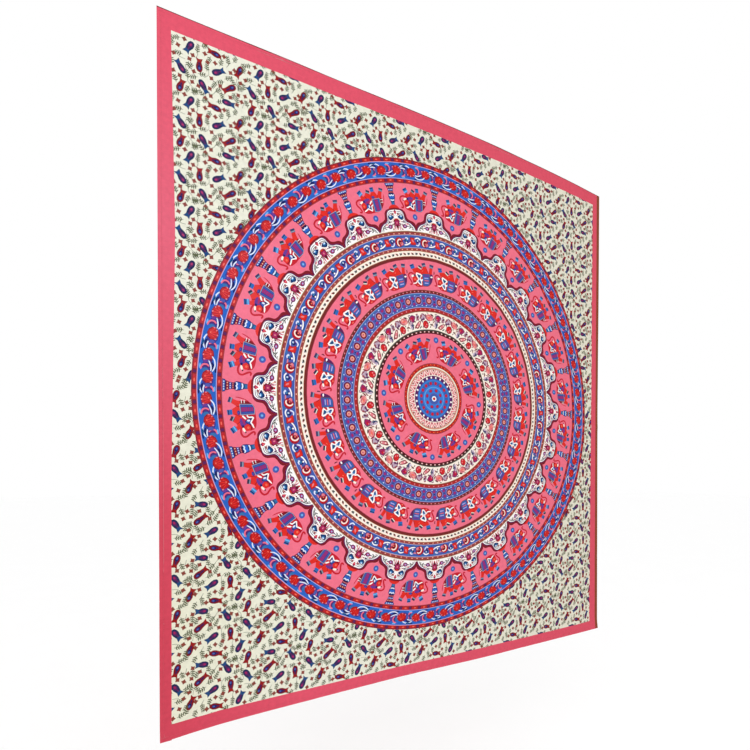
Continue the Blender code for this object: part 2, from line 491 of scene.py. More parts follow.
# %% Rim, bead rows and the lotus band
def bead_row(base, middle, width):
    unit = [patch("maroon", (15, 0.6), (32, 0.6), (32, width - 0.6), (15, width - 0.6)),
            patch("plum", (19.0, 1.8), (28, 1.8), (28, width - 1.8), (19.0, width - 1.8)),
            oval("scarlet", 0.0, width / 2, 13.0, width / 2 - 2.4),
            dot("coral", 1.5, width / 2, 6.5, 2.6),
            dot("crimson", -12.0, width / 2 + 0.5, 3.4, 2.8)]
    around(unit, 120, base, middle, first=0.0)


WHEEL_FIRST = len(printed)
rings(("dusty", WHEEL_EDGE), ("maroon", 0.9625), ("brick", 0.9605))
bead_row(0.947, 0.955, 14.5)
rings(("rose", 0.9475), ("lilac", 0.9462), ("royal", 0.9445))
lotus = [
    oval("indigo", -36, 1, 21, 19), oval("indigo", 8, 3, 27, 19),
    oval("navy", -23, 25.5, 9, 3.0), oval("teal", 34, -24, 12, 3.4),
    blob("navy", (-50, 12), (-40, 20), (-27, 18), (-20, 13), (-33, 11)),
    oval("plum", -54, 9, 4.0), oval("purple", -50, -8, 4.5, 8.5), oval("violet_blue", 27, 3, 6, 9),
    oval("teal_blue", -22, -6, 7.5, 9.5), oval("sky", 40, 24, 9, 3.0),
    stroke("plum", 3.4, (-30, 4), (-35, -4), (-33, -13), (-27, -17)),
    stroke("pink", 5.4, (-34, 5), (-40, -3), (-39, -13), (-32, -19.5), (-22, -21)),
    stroke("blue_white", 4.2, (-68, 10.5), (-58, 19), (-42, 23), (-29, 21), (-18, 15)),
    stroke("blue_white", 4.2, (-53, 1.5), (-44, 7), (-32, 11), (-19, 10.5)),
    oval("maroon", 0, 1.5, 22.0, 18.6, sides=10),
    patch("scarlet", (-4, -14), (-12, -11), (-14, -5), (-22, -3), (-17, 2), (-22, 8), (-15, 9),
          (-15, 15),
          (-9, 13), (-5, 19), (-1, 15), (4, 20), (7, 15), (13, 17), (13, 11), (20, 9), (17, 3), (21, -3),
          (14, -4), (13, -10), (6, -13)),
    leaf("red", -2, -9, -15, 5, 4.6), leaf("red", -1, -8, -7, 13, 4.4), leaf("red", 1, -8, 4, 15, 4.4),
    leaf("red", 3, -8, 13, 10, 4.6), leaf("maroon", -3, -10, -11, 8, 1.6),
    leaf("maroon", 0, -10, -1, 13, 1.6),
    leaf("maroon", 3, -10, 9, 12, 1.6),
    oval("rose", -12.5, 11.5, 3.2, 2.4), oval("rose", 3, 16.5, 3.4, 2.4),
    oval("rose", 17, 12.5, 2.8, 3.2),
    oval("rose", -19.5, 2.5, 2.4, 3.0), oval("coral", -2, -6, 3.4, 2.4),
]
around(lotus, 40, 0.915, first=3.67)
around([(dye, [(x, -y) for x, y in outline]) for dye, outline in lotus], 40, 0.915, first=8.25)
rings(("lilac", 0.8862), ("brick", 0.8838))
bead_row(0.869, 0.876, 14.5)
print(len(printed), "patches with the lotus band")

# %% [markdown]
# The widest ring is salmon. Twenty-four elephants walk round it with their feet to the rim,
# and between them stand banded columns, each on the dome below it. An elephant is a crimson
# body with a blanket, a saddle cloth, striped feet, a cream tusk and a raised trunk.

# %% Elephants and columns
def foot(x, y, wide, tall, turn, body, stripe):
    w, h = wide / 2, tall / 2
    return moved([patch(body, (-w * 0.9, -h), (w * 0.9, -h), (w, h), (-w, h)),
                  patch(stripe, (-w, -h * 0.72), (w, -h * 0.72), (w, -h * 0.2), (-w, -h * 0.2)),
                  patch("navy", (-w, h * 0.35), (w, h * 0.35), (w, h * 0.72), (-w, h * 0.72))], x, y,
                  turn)


def legs(*lines):
    return [stroke("red", wide, hip, ankle, tip=1.0) for wide, hip, ankle in lines]


elephant = [
    stroke("crimson", 3.4, (-69, -47), (-66, -64), (-59, -82), (-49, -94)),
    blob("crimson", (-55, -62), (-57, -76), (-50, -95), (-36, -108), (-14, -110), (15, -111), (36, -107),
         (47, -97), (47, -76), (31, -58), (0, -58), (-40, -58)),
    blob("maroon", (-57, -62), (-46, -60), (-44, -84), (-46, -100), (-54, -86)),
    patch("red", (-61, -38), (-49, -33), (-39, -48), (-28.5, -31), (-13, -34), (-8, -43), (9, -31),
          (20, -43), (32, -46), (29, -60), (0, -66), (-47, -62), (-56, -60)),
    stroke("maroon", 1.8, (-40, -48), (-36, -56), (-40, -61)),
    stroke("maroon", 1.8, (-12, -42), (-8, -52), (-2, -60)),
    stroke("maroon", 1.8, (20, -44), (16, -52), (8, -58)),
]
elephant += legs((14, (-48, -56), (-59, -30)), (15, (-20, -56), (-20, -28)),
                 (12, (8, -54), (2, -32)), (13, (30, -58), (36, -34)))
elephant += foot(-60, -29, 18, 13, 20, "slate", "steel") + foot(-20, -25, 17, 17, -4, "teal_blue",
                                                                "royal")
elephant += foot(1.5, -31, 16, 13, 30, "charcoal", "steel") + foot(36.5, -31, 19, 20, -26, "teal_blue",
                                                                   "sky")
elephant += [
    patch("steel", (-46, -58.5), (-8, -59.5), (-7, -108), (-30, -109), (-44, -103)),
    patch("indigo", (-43.5, -61), (-10.5, -62), (-10, -106), (-30, -107), (-42, -101)),
    patch("blue", (-41, -63), (-36, -63), (-35, -102), (-40, -100)),
    patch("blue", (-17, -64), (-13, -64), (-12.5, -104), (-16.5, -104)),
    patch("magenta", (-34, -64), (-20, -64), (-20, -104), (-33, -104)),
] + [patch("purple", (-33, y), (-21, y), (-21, y - 2.6), (-33, y - 2.6)) for y in (-69, -76, -83, -90,
                                                                                   -97)]
elephant += [
    oval("indigo", -17, -54, 8, 5.5), oval("violet_blue", -17, -53, 3.4, 2.6),
    stroke("white", 4.6, (-60, -66), (-48, -66)), stroke("white", 4.6, (-60, -75.5), (-48, -75.5)),
    blob("purple", (2, -58), (15, -54.5), (30, -58), (28, -70), (22, -79), (13, -73), (6, -67)),
    stroke("magenta", 6.5, (5, -63), (13, -68), (24, -69)),
    blob("navy", (9, -80), (15.5, -72), (25, -81), (28, -92), (20, -93), (7, -99), (4, -90)),
    blob("blue", (11, -82), (16, -75), (23, -83), (24, -90), (14, -93)),
    oval("blue_white", 12.5, -84.5, 3.6, 5.8), oval("wine", 0, -92, 3.4, 7),
    stroke("white", 5.4, (-6, -65.5), (0, -70), (7, -77)),
    stroke("white", 4.8, (-7, -81), (1, -85), (2, -93), (4, -102), (20, -91.5), (28, -95), (42, -99)),
    oval("red", 37, -78, 12, 12.5), stroke("wine", 3.0, (27, -86), (36, -91), (46, -89)),
    oval("coral", 37, -80, 4.6, 4.4), oval("orange", 36.5, -79, 2.2),
    oval("navy", 31, -63, 4.6, 5.0), oval("umber", 51.5, -68.5, 3.2, 2.8),
    stroke("crimson", 6.6, (31, -59), (40, -54.5), (53, -53), (65, -59), (66, -71), (59, -83),
           (54.5, -94),
           (58, -98.5), (67, -96)),
    oval("ivory", 42.5, -64.5, 8.2, 4.2, turn=-18),
]
column = [
    patch("navy", (-20.5, -4), (20.5, -4), (19, -13), (14, -16), (-14, -16), (-19, -13)),
    patch("blue", (-18, -5.5), (18, -5.5), (17, -12.5), (-17, -12.5)),
    patch("maroon", (-16, -16), (16, -16), (13, -26), (-13, -26)),
    patch("indigo", (-12.5, -26), (12.5, -26), (11, -35), (-11, -35)),
    patch("wine", (-10.5, -35), (10.5, -35), (11, -44), (-11, -44)),
    patch("navy", (-12, -44), (12, -44), (16, -50), (14.5, -62), (10, -75), (-10, -75), (-14.5, -62),
          (-16, -50)),
    patch("royal", (-12, -54), (12, -54), (11, -65), (-11, -65)),
    patch("teal", (-9.5, -75), (9.5, -75), (8, -89), (-8, -89)),
    patch("teal_blue", (-6, -79), (6, -79), (5.5, -87), (-5.5, -87)),
    patch("blue_white", (-13, -47.5), (-6, -51), (0, -47.5), (6, -51), (13, -47.5), (12, -53), (6, -56),
          (0, -53), (-6, -56), (-12, -53)),
    patch("blue_white", (-9.5, -67), (0, -69), (9.5, -67), (9, -72), (0, -74), (-9, -72)),
]
column += [dot("pale_blue", x, -9, 2.9, 2.4) for x in (-12, -4, 4, 12)]
column += [dot("peach", x, -21, 2.7, 2.5) for x in (-9, 0, 9)]
column += [dot("pale_blue", x, -30.5, 2.5, 2.3) for x in (-7, 0, 7)]
column += [dot("rose", x, -39.5, 2.6, 1.9) for x in (-6, 0, 6)]
COLUMN_ANGLE = 0.76
rings(("dusty", 0.8688), ("salmon", 0.8668))
around(elephant, 24, 0.870, 0.8075, first=COLUMN_ANGLE + 7.5)
around(column, 24, 0.870, 0.8075, first=COLUMN_ANGLE)
print(len(elephant), "marks in an elephant,", len(column), "in a column")

# %% [markdown]
# The inner edge of that ring is a scalloped arcade: a maroon outline rises over each dome and
# dips to a point between two. Inside each white dome grow a red bud, two blue fans, a dark red
# fan with a falling drop, violet flowers and leaf sprigs.

# %% Domes
roof = [(29, -33), (41, -38), (49, -48), (52, -60), (55, -70), (67, -78), (83, -82), (93, -90),
        (95.5, -96)]
rib = [(25, -36.5), (35.5, -41), (42, -52), (44, -64), (47, -75.5), (57, -83), (70, -87), (84, -97),
       (91, -107), (94, -115)]
wall = [(23, -38.5), (33, -43.5), (39, -54), (40.5, -66), (43.5, -78), (55, -86.5), (67, -90.5),
        (81, -101),
        (88, -111), (91, -118)]


def arcade(dye, side, crown, foot_y):
    """An outline over the dome: one side, its crown and the same side mirrored."""
    right = soft([(0, crown)] + side, steps=2, closed=False)
    return (dye, [(x, y) for x, y in right] + [(side[-1][0], foot_y), (-side[-1][0], foot_y)]
            + [(-x, y) for x, y in right[:0:-1]])


half = [
    stroke("slate", 2.4, (8, -44), (26, -45), (35.5, -55), (37, -67), (41, -80), (55, -90), (67, -96),
           (79, -107)),
    stroke("charcoal", 2.4, (8, -50), (22, -51), (31, -56), (36, -66)),
    stroke("dusty", 3.2, (6, -60), (13, -56), (22, -55)), leaf("dusty", 6, -52, 20, -55, 4.4),
    leaf("charcoal", 32, -78, 46, -92, 4.6), leaf("plum", 36, -76, 33, -90, 5.0),
    leaf("rose", 44, -90, 60, -96, 5.4), leaf("dusty", 8, -92, 24, -92, 5.0),
    leaf("maroon", 26, -89, 26, -101, 4.6), stroke("magenta", 4.6, (5, -86), (11, -98), (13, -112)),
    stroke("maroon", 3.0, (13, -94), (19, -106), (21, -117)),
    blob("navy", (8.5, -65), (16, -59), (25, -56), (34, -61), (35, -72), (27, -77), (18, -72)),
    blob("teal", (16, -66), (24, -61), (31, -63), (30, -71), (22, -71)),
    oval("sky", 26, -62, 6.0, 4.0), oval("white", 27, -61, 3.0, 2.2),
    stroke("peach", 2.4, (0, -70.5), (12, -72.5), (20, -79), (19, -88)),
    leaf("maroon", 22, -83, 33, -84, 4.4), leaf("wine", 13, -88, 21, -98, 5.0),
    oval("plum", 37, -101, 11.5, 9.0), oval("magenta", 37, -101, 8.0, 6.0),
    oval("lilac", 38, -101, 4.2, 3.4),
    leaf("plum", 46, -101, 57, -102, 5.0),
    stroke("charcoal", 2.6, (54, -101), (68, -104), (80, -110), (82, -117)),
    leaf("moss", 59, -93, 69, -104, 4.2), leaf("charcoal", 55, -110, 68, -105, 4.0),
    leaf("charcoal", 70, -97, 77, -108, 3.6), leaf("moss", 70, -113, 79, -112, 3.2),
    stroke("rose", 3.0, (8, -105), (13, -113), (16, -119)),
    stroke("peach", 2.6, (15, -101), (22, -110), (25, -118)),
    stroke("olive", 2.0, (10, -112), (12, -119)), leaf("moss", 24, -107, 28, -117, 2.6),
]
dome = [arcade("maroon", roof, -31, -121), arcade("plum", rib, -34.5, -121),
        arcade("white", wall, -37, -121)]
dome += half + mirrored(half)
dome += [
    patch("crimson", (0, -37), (7, -44), (4, -51), (0, -56), (-4, -51), (-7, -44)),
    oval("plum", 0, -41, 3.4),
    dot("pink", 0, -47.5, 2.6, 2.2),
    blob("maroon", (-17, -83), (-11, -74.5), (0, -71), (11, -74.5), (17, -83), (8, -82), (0, -80),
         (-8, -82)),
    blob("red", (-6, -75), (0, -73), (6, -75), (3, -78), (-3, -78)),
    blob("maroon", (-15, -80), (0, -77), (15, -80), (9, -98), (0, -112), (-9, -98)),
    blob("magenta", (-11, -82), (0, -79), (11, -82), (6, -97), (0, -109), (-6, -97)),
    blob("wine", (-4, -96), (4, -96), (3, -104), (0, -108), (-3, -104)),
    oval("rose", 0, -87.5, 3.0, 4.0), oval("crimson", 0, -111, 4.6, 3.4),
    patch("ivory", (-95.5, -116.5), (-30, -116), (30, -116), (95.5, -116.5), (95.5, -121),
          (-95.5, -121)),
]
cap = [patch("red", (-29, -104), (-24, -96), (-13, -89.5), (0, -87.5), (13, -89.5), (24, -96),
             (29, -104),
             (15, -107), (-15, -107)),
       patch("maroon", (-31, -103), (-20, -100.5), (0, -99), (20, -100.5), (31, -103), (22, -107),
             (-22, -107))]
around(dome, 24, 0.800, 0.730, first=COLUMN_ANGLE)
around(cap, 24, 0.870, 0.8075, first=COLUMN_ANGLE)
around([oval("blue", 0, 0, 12.2, sides=12), oval("violet_blue", 0, 0, 9.0, sides=10),
        oval("sky", 0, 0, 4.6)],
       24, 0.738, first=COLUMN_ANGLE + 7.5)
INNER_FIRST, INNER_EDGE = len(printed), 0.6805
rings(("brown", INNER_EDGE), ("gold", 0.6785), ("maroon", 0.677), ("dusty", 0.6755))
around([dot("peach", 0, 0, 3.8, 2.8)], 160, 0.671)
print(len(dome), "marks in a dome")

# %% [markdown]
# Inside the arcade come two narrow bead rows with a blue scroll band between them. Its repeat is
# a crimson rose curled round a dark heart and a red star flower, joined by white curls.

# %% Scroll band
rings(("tan", 0.6670), ("lilac", 0.6656), ("blue", 0.6638), ("violet_blue", 0.6590), ("blue", 0.6230))
scroll = [
    oval("teal_blue", 18, 18, 8, 3.4), oval("teal_blue", -48, 18, 8, 3.4),
    oval("teal_blue", -24, -20, 10, 2.6),
    oval("navy", 36, 1, 10, 9), oval("teal", 37, 5, 7.4, 5.4), oval("purple", 31, -7, 4.4, 7.0),
    oval("navy", -34, 3, 9.5, 8.0), oval("teal_blue", -36, 5, 6.5, 5.0),
    stroke("navy", 3.0, (-52, -8), (-36, -18), (-22, -19)),
    oval("maroon", 2.5, -2, 20.5, 19.5, sides=12), oval("crimson", 3.5, -1, 17.5, 17, sides=12),
    stroke("maroon", 2.2, (10, 14), (18, 4), (17, -10)),
    stroke("scarlet", 2.6, (-4, 14), (6, 13), (14, 7)),
    oval("plum", -9, -8.5, 11.0, 9.0), oval("rose", -8.5, -9, 8.8, 7.2),
    oval("pink", -7, -11.5, 4.6, 3.0),
    oval("wine", -1, -3.5, 7.6, 8.4),
    stroke("ivory", 4.8, (-9, 5.5), (-3.5, 9), (5, 6.5), (10.5, -1.5), (9.5, -12), (3.5, -17.5)),
    oval("coral", -2.5, -5.5, 3.8, 3.2),
    patch("maroon", (-81, -8), (-74, 2), (-77, 14), (-65, 15.5), (-53, 16), (-54, 4.5), (-50, -5),
          (-55, -13.5),
          (-67, -15), (-81, -13)),
    patch("red", (-79, -8), (-71.5, 2), (-74, 11.5), (-65, 13), (-56, 13.5), (-57, 4.5), (-53, -4),
          (-57, -11.5),
          (-67, -13), (-78.5, -11.5)),
    stroke("scarlet", 2.0, (-72, -9), (-66, -10), (-58, -8)), leaf("rose", -70, -5, -61, 9, 6.8),
    stroke("white", 5.0, (-54, -3), (-46.5, -9), (-35, -13), (-21, -14)),
    stroke("blue_white", 5.0, (-42, 9), (-38, 14), (-29, 12.5)), oval("blue_white", -41, 10, 4.0, 4.0),
    oval("white", -33, -5, 3.5, 3.6),
    stroke("white", 4.8, (22, 7), (29, 13), (38, 14.5), (51, 9.5)), oval("pale_blue", 36, 3.5, 3.2, 4.0),
    stroke("blue_white", 5.0, (26.5, -3), (31, -11.5), (36.5, -16.5), (47, -14.5)),
    stroke("rose", 5.0, (-27, 10), (-20, 9), (-13, 10.5)),
]
around(scroll, 32, 0.640, 0.6425, first=5.03)
rings(("lilac", 0.6162), ("tan", 0.6145), ("maroon", 0.6133), ("dusty", 0.6122))
around([dot("peach", 0, 0, 3.6, 2.7)], 160, 0.6085)
print("scroll band holds", 32 * len(scroll), "patches")

# %% Leaf band and the second ring of elephants
rings(("gold", 0.6042), ("ivory", 0.6020))
pair = [leaf("brown", -16, -4, -3, 3, 8.4), leaf("charcoal", 3, 3, 16, -4, 8.0),
        leaf("rose", -7, 5, -1, 1, 3.2), leaf("teal", 11, 4, 18, 1, 3.0)]
around(pair, 96, 0.591, first=1.0)
rings(("tan", 0.5822), ("maroon", 0.5805), ("brown", 0.577), ("maroon", 0.5735), ("dusty", 0.5702),
      ("salmon", 0.568))
second = [
    stroke("wine", 4.0, (-58.8, -47), (-60, -53), (-58, -60), tip=0.6),
    blob("crimson", (-53, -64), (-52, -82), (-40, -105), (-24, -113), (-2, -114), (18, -116.5),
         (36, -114),
         (49, -104), (52, -90), (48, -72), (33, -59), (0, -57), (-40, -59)),
    blob("plum", (-54, -65), (-42, -61), (-38, -84), (-39, -104), (-50, -90)),
    patch("red", (-50, -37), (-38.5, -36), (-33, -60), (-49, -61)),
    patch("red", (-22, -32), (-8, -36), (0, -45), (8, -50), (18.5, -37), (31, -40), (39, -47), (33, -62),
          (5, -63), (-32, -60), (-30, -52)),
    stroke("maroon", 2.0, (-22, -42), (-28, -52), (-33, -58)),
    stroke("coral", 3.0, (-14, -45), (0, -53), (12, -56)),
    stroke("maroon", 2.0, (34, -54), (22, -55), (12, -62)),
]
second += legs((12, (-43, -56), (-47, -30)), (14, (-14, -54), (-11, -28)),
               (12, (6, -56), (8, -38)), (14, (34, -58), (43, -36)))
second += foot(-47, -28.5, 18, 15, 12, "slate", "steel") + foot(-10.5, -26, 18, 15, -16, "slate",
                                                                "steel")
second += foot(8.5, -37.5, 17, 13, 30, "charcoal", "ivory") + foot(44, -34, 20, 18, -16, "teal_blue",
                                                                   "royal")
second += [
    patch("slate", (-39, -60), (-1, -62.5), (0.5, -111.5), (-26, -112), (-38.5, -104)),
    patch("blue", (-36, -63), (-4, -65), (-2.5, -109), (-26, -109), (-35.5, -102)),
    patch("purple", (-34, -65), (-8, -66), (-8, -73.5), (-34, -73)),
    patch("lilac", (-31, -77), (-10, -77.5), (-10, -81.5), (-31, -81)),
    patch("magenta", (-33, -85.5), (-8, -86), (-8, -92), (-32, -91.5)),
    patch("rose", (-31, -87.5), (-10, -87.5), (-10, -90), (-31, -90)),
    patch("lilac", (-31, -96.5), (-10, -97), (-10, -101.5), (-30, -101)),
    patch("white", (-1, -70), (7, -63.5), (28, -58), (32.5, -64), (30, -74), (23.5, -82), (25, -90),
          (27.5, -98),
          (17, -107), (9, -110), (4.5, -106), (5, -94), (-1.5, -89), (-1, -83), (8, -86), (10, -80)),
    patch("teal", (7, -70), (17, -67), (25.5, -64), (24, -72), (19, -80), (14, -80)),
    patch("teal_blue", (16, -82), (20, -82), (22, -90), (23, -96), (12, -104), (9, -104), (10, -95),
          (13, -88)),
    dot("navy", 11.5, -98, 3.0, 5.0), dot("blue_white", 18.5, -86.5, 3.6, 3.2),
    oval("red", 40, -84.5, 10.5, 11.0), stroke("wine", 2.6, (32, -91), (40, -95), (50, -92)),
    oval("coral", 39, -85, 5.0, 4.0), oval("slate", 38, -69, 5.4, 4.6), dot("plum", 40, -69, 2.6, 2.6),
    dot("umber", 55.5, -74.5, 2.8, 2.4), dot("coral", 28, -110, 5.4, 3.0),
    stroke("white", 4.4, (26.5, -88), (33, -98), (41.5, -101), (52, -101)),
    stroke("crimson", 6.6, (41.5, -65), (49, -60), (60, -59), (68.5, -66), (67.5, -77), (61.5, -89),
           (57.7, -98),
           (61, -104.5), (70, -102.5)),
    oval("ivory", 49, -71.5, 7.2, 4.4, turn=-18), oval("white", -47, -72, 6.0, 3.4),
]
around(second, 24, 0.575, 0.5075, first=7.55)
print(len(second), "marks in the second elephant")

# %% [markdown]
# Further in lie a violet band of forty-eight ring flowers, a cream band of drawn flowers and
# the small ring of eight elephants with blue dots between them.

# %% Ring flowers, floral band and the inner elephants
rings(("rose", 0.4495), ("maroon", 0.4475), ("brown", 0.4445), ("maroon", 0.4405))
around([dot("rose", 0, 0, 3.4, 2.8)], 144, 0.441, first=1.14)
rings(("wine", 0.4365), ("lilac", 0.4345), ("teal_blue", 0.4325), ("violet_blue", 0.4275))
ring_flower = [
    oval("purple", -25, 11, 9, 7.5), oval("magenta", -25, 9, 6, 4.6), oval("purple", -28, -15, 9, 7),
    oval("magenta", -28, -11.5, 6, 4.0), dot("navy", -27, -2.5, 3.2, 2.6),
    oval("lilac", 0, 0, 17.6, 18.6), oval("violet_blue", 0, 0, 16.2, 17.2),
    oval("plum", 0, 0, 15.0, 15.5, sides=12),
    oval("maroon", 1.5, -1.0, 13.6, 14.2, sides=12), oval("peach", 0, 0, 9.0, 9.0, sides=10),
    oval("rose", 1.5, 0.5, 6.4, 6.4), dot("brown", -0.5, 0.5, 2.0),
    dot("pale_blue", -13, 19.5, 3.6, 2.8), dot("pale_blue", 14.5, -20, 3.6, 2.8),
    dot("pale_blue", 15, 19, 3.0, 2.4), dot("pale_blue", -15.5, -20, 3.0, 2.4),
]
around(ring_flower, 48, 0.4045, first=4.38)
rings(("teal_blue", 0.3815), ("lilac", 0.3780), ("dusty", 0.3760), ("brick", 0.3735))
around([dot("rose", 0, 0, 3.6, 2.8)], 96, 0.3685, first=0.19)
rings(("brown", 0.3625), ("tan", 0.3600), ("ivory", 0.3582))
floral = [
    oval("mauve", -6, -26, 15, 13), oval("mauve", -68, -54, 9, 17), oval("mauve", 21, -29, 9, 13),
    oval("dusty", -36, -30, 17.5, 14.5, sides=10), oval("wine", -16, -58, 15.5, 17, sides=10),
    leaf("dusty", -2, -18, 12, -34, 6.0), leaf("plum", -16, -34, 0, -40, 6.0),
    leaf("dusty", 26, -26, 16, -42, 5.0),
    leaf("maroon", -62, -26, -50, -44, 6.0), leaf("slate", -74, -44, -70, -72, 8.0),
    leaf("brown", -4, -44, 10, -40, 5.0),
    leaf("umber", 44, -52, 56, -62, 6.0), leaf("dusty", 28, -16, 16, -14, 4.6),
    leaf("maroon", -56, -66, -46, -52, 5.0),
    leaf("charcoal", 4, -72, -6, -60, 4.0), leaf("plum", 50, -14, 64, -14, 4.0),
    leaf("moss", -34, -12, -22, -10, 3.6),
    blob("plum", (31, -22), (38, -17), (47, -14), (56, -19), (61, -22), (60, -34), (56, -42), (49, -47),
         (42, -44), (37, -38), (33, -30)),
    blob("magenta", (34, -24), (45, -18), (57, -24), (56, -34), (49, -43), (40, -37)),
    oval("crimson", 49, -28, 5.4, 5.0), oval("rose", 53, -33, 3.2, 2.6), oval("wine", 37, -43, 4.0, 3.0),
    stroke("maroon", 1.6, (38, -22), (44, -28), (43, -38)),
    blob("rose", (-50, -26), (-43, -19), (-33, -15), (-24, -19), (-22, -30), (-27, -37), (-38, -43),
         (-48, -41), (-52, -33)),
    blob("coral", (-45, -30), (-36, -27), (-28, -30), (-34, -34)), oval("peach", -31, -24, 4.4, 3.4),
    oval("peach", -43, -37, 4.4, 2.8), stroke("dusty", 1.6, (-46, -28), (-38, -22), (-30, -18)),
    leaf("maroon", -20, -13, -19, -34, 5.4), leaf("umber", -56, -23, -40, -13, 6.0),
    stroke("moss", 1.8, (-57, -22), (-59, -27), (-58, -31)),
    blob("crimson", (-29, -57), (-24, -48), (-18, -43), (-8, -45), (-2, -54), (-4, -64), (-13, -73),
         (-22, -71), (-29, -64)),
    blob("red", (-24, -56), (-16, -48), (-7, -52), (-8, -62), (-16, -66)),
    oval("rose", -15, -66, 4.2, 3.2), oval("rose", -22, -58, 3.0, 3.4),
    leaf("maroon", -25, -46, -15, -42, 5.0),
    stroke("wine", 1.6, (-18, -50), (-12, -56), (-14, -63)),
    blob("maroon", (8, -44), (16, -43), (28, -50), (40, -60), (42, -66), (34, -72), (24, -70),
         (12, -56)),
    blob("rose", (12, -46), (20, -48), (32, -58), (37, -65), (31, -69), (22, -63), (14, -54)),
    oval("ivory", 16, -50, 3.0, 2.2), oval("ivory", 30, -63, 3.2, 2.6),
    leaf("maroon", 38, -62, 45, -70, 6.0),
    stroke("maroon", 4.0, (-15, -24), (-8, -16), (1, -14.5)),
    stroke("plum", 4.4, (-9, -29), (-4, -36), (4, -38), (8, -27)),
    oval("dusty", 3, -20, 4.0, 2.6), stroke("plum", 3.6, (5, -39), (3, -44), (-2, -50)),
    leaf("wine", 15, -20, 23, -32, 7.0), stroke("slate", 2.0, (21, -24), (24, -19), (25, -15)),
    stroke("umber", 2.2, (22, -40), (25, -36), (29, -38), (30, -42)),
    leaf("charcoal", 6, -62, 20, -74, 5.4), leaf("umber", -49, -60, -38, -56, 6.4),
    leaf("umber", -43, -62, -38, -72, 4.2),
    stroke("navy", 3.8, (-65, -50), (-69, -57), (-72, -63)),
    stroke("slate", 4.0, (-75, -64), (-69, -69), (-63, -72)),
    stroke("maroon", 3.8, (-64, -38), (-57, -44), (-52, -52)),
    stroke("lilac", 2.6, (-62, -56), (-60, -64), (-56, -68)),
    leaf("brown", -39, -47, -32, -50, 5.0), stroke("charcoal", 2.0, (-63, -38), (-65, -26), (-62, -14)),
    stroke("brown", 1.6, (-2, -66), (0, -72), (1, -77)),
]
around(floral, 16, 0.365, 0.315, first=11.28)
rings(("moss", 0.2872), ("charcoal", 0.2850), ("umber", 0.2810))
around([dot("rose", 0, 0, 4.8, 3.2), dot("ivory", 0, 0, 3.0, 1.8)], 80, 0.2775, first=1.5)
rings(("wine", 0.2738), ("salmon", 0.2700))
around(elephant, 8, 0.2725, 0.2125, first=24.0)
around([oval("blue", 0, 0, 11.0, 12.5, sides=12), oval("violet_blue", 0, 0, 8.0, 9.0, sides=8),
        oval("sky", 0, 0, 4.0, 5.0)], 8, 0.245, 0.2125, first=-1.5)
print("print so far", len(printed), "patches")

# %% [markdown]
# The hub is a rosette: cream and rose points over a plum ring of white petals, and a bright blue
# disc with two rings of red dots round one small red eye.

# %% Hub
rings(("dusty", 0.1485), ("scarlet", 0.1455))
around([dot("orange", 0, 0, 3.2, 2.4)], 48, 0.1410)
around([dot("moss", 0, 0, 2.6, 1.8)], 24, 0.1415, first=3.75)
rings(("maroon", 0.1368), ("tan", 0.1345), ("ivory", 0.1328), ("olive", 0.1285), ("peach", 0.1268),
      ("dusty", 0.1240), ("rose", 0.1215))
lattice = [patch("ivory", (-14, -27), (14, -27), (0, 0)),
           patch("rose", (-9.6, -26), (9.6, -26), (0, -7.5)),
           patch("wine", (-4.4, -25), (4.4, -25), (0, -15.5))]
between = [patch("ivory", (-9.5, -1), (9.5, -1), (0, -16)),
           patch("dusty", (-6, -2.2), (6, -2.2), (0, -11.5))]
around(lattice, 24, 0.1235, 0.110, first=9.7)
around(between, 24, 0.1235, 0.110, first=9.7 + 7.5)
rings(("ivory", 0.0995), ("plum", 0.0965), sides=96)
around([leaf("white", 0, -6.5, 0, 5.0, 8.5)], 24, 0.0895, first=9.7)
around([dot("plum", 0, 0, 2.0, 3.0)], 24, 0.0900, first=2.2)
rings(("blue", 0.0835), ("azure", 0.0795), ("teal_blue", 0.0735), ("blue", 0.0705), sides=72)
around([oval("lilac", 0, 0, 7.5, 7.5)], 16, 0.0648, first=15.5)
around([oval("blue", 0, 0, 6.6, 6.6)], 16, 0.0648, first=15.5)
disc("azure", 0.0565, sides=48)
around([oval("magenta", 0, 0, 7.4, 7.6), oval("crimson", 0, 0, 5.2, 5.4)], 16, 0.0648, first=15.5)
rings(("sky", 0.0495), ("azure", 0.0470), sides=48)
around([oval("plum", 0, 0, 8.6, 7.2), oval("magenta", 0, 0, 6.8, 5.8), oval("crimson", 0, 0, 4.2, 3.8)],
       8, 0.0355, first=28.0)
rings(("violet_blue", 0.0235), ("blue", 0.0180), sides=32)
rings(("pale_blue", 0.0115), ("white", 0.0100), sides=16)
disc("scarlet", 0.0062, sides=12)
print("whole print", len(printed), "patches")

# %% [markdown]
# Thin cotton hung by one edge is never a board. Its top hem is held in a very shallow wave, and
# below that the cloth finds its own soft folds. A coarse sheet is hung by a cloth simulation to
# find them, and only how far it swings in and out is kept. Where the cloth was folded in its
# packet it has kept three pressed lines. The printed sheet, the hems and the stitches all ask
# the same function where the cloth is, so nothing comes apart.

# %% Hang the cloth
HANG_ACROSS, HANG_DOWN = 48, 52
HOLD_WAVES = ((3, 1.1, 0.4), (5, 0.9, 1.9), (8, 0.7, 0.7), (13, 0.35, 2.6))


def held_wave(u):
    """The shallow wave of the top hem, in metres."""
    return sum(size * math.sin(math.pi * count * u + phase) for count, size, phase in HOLD_WAVES) * MM


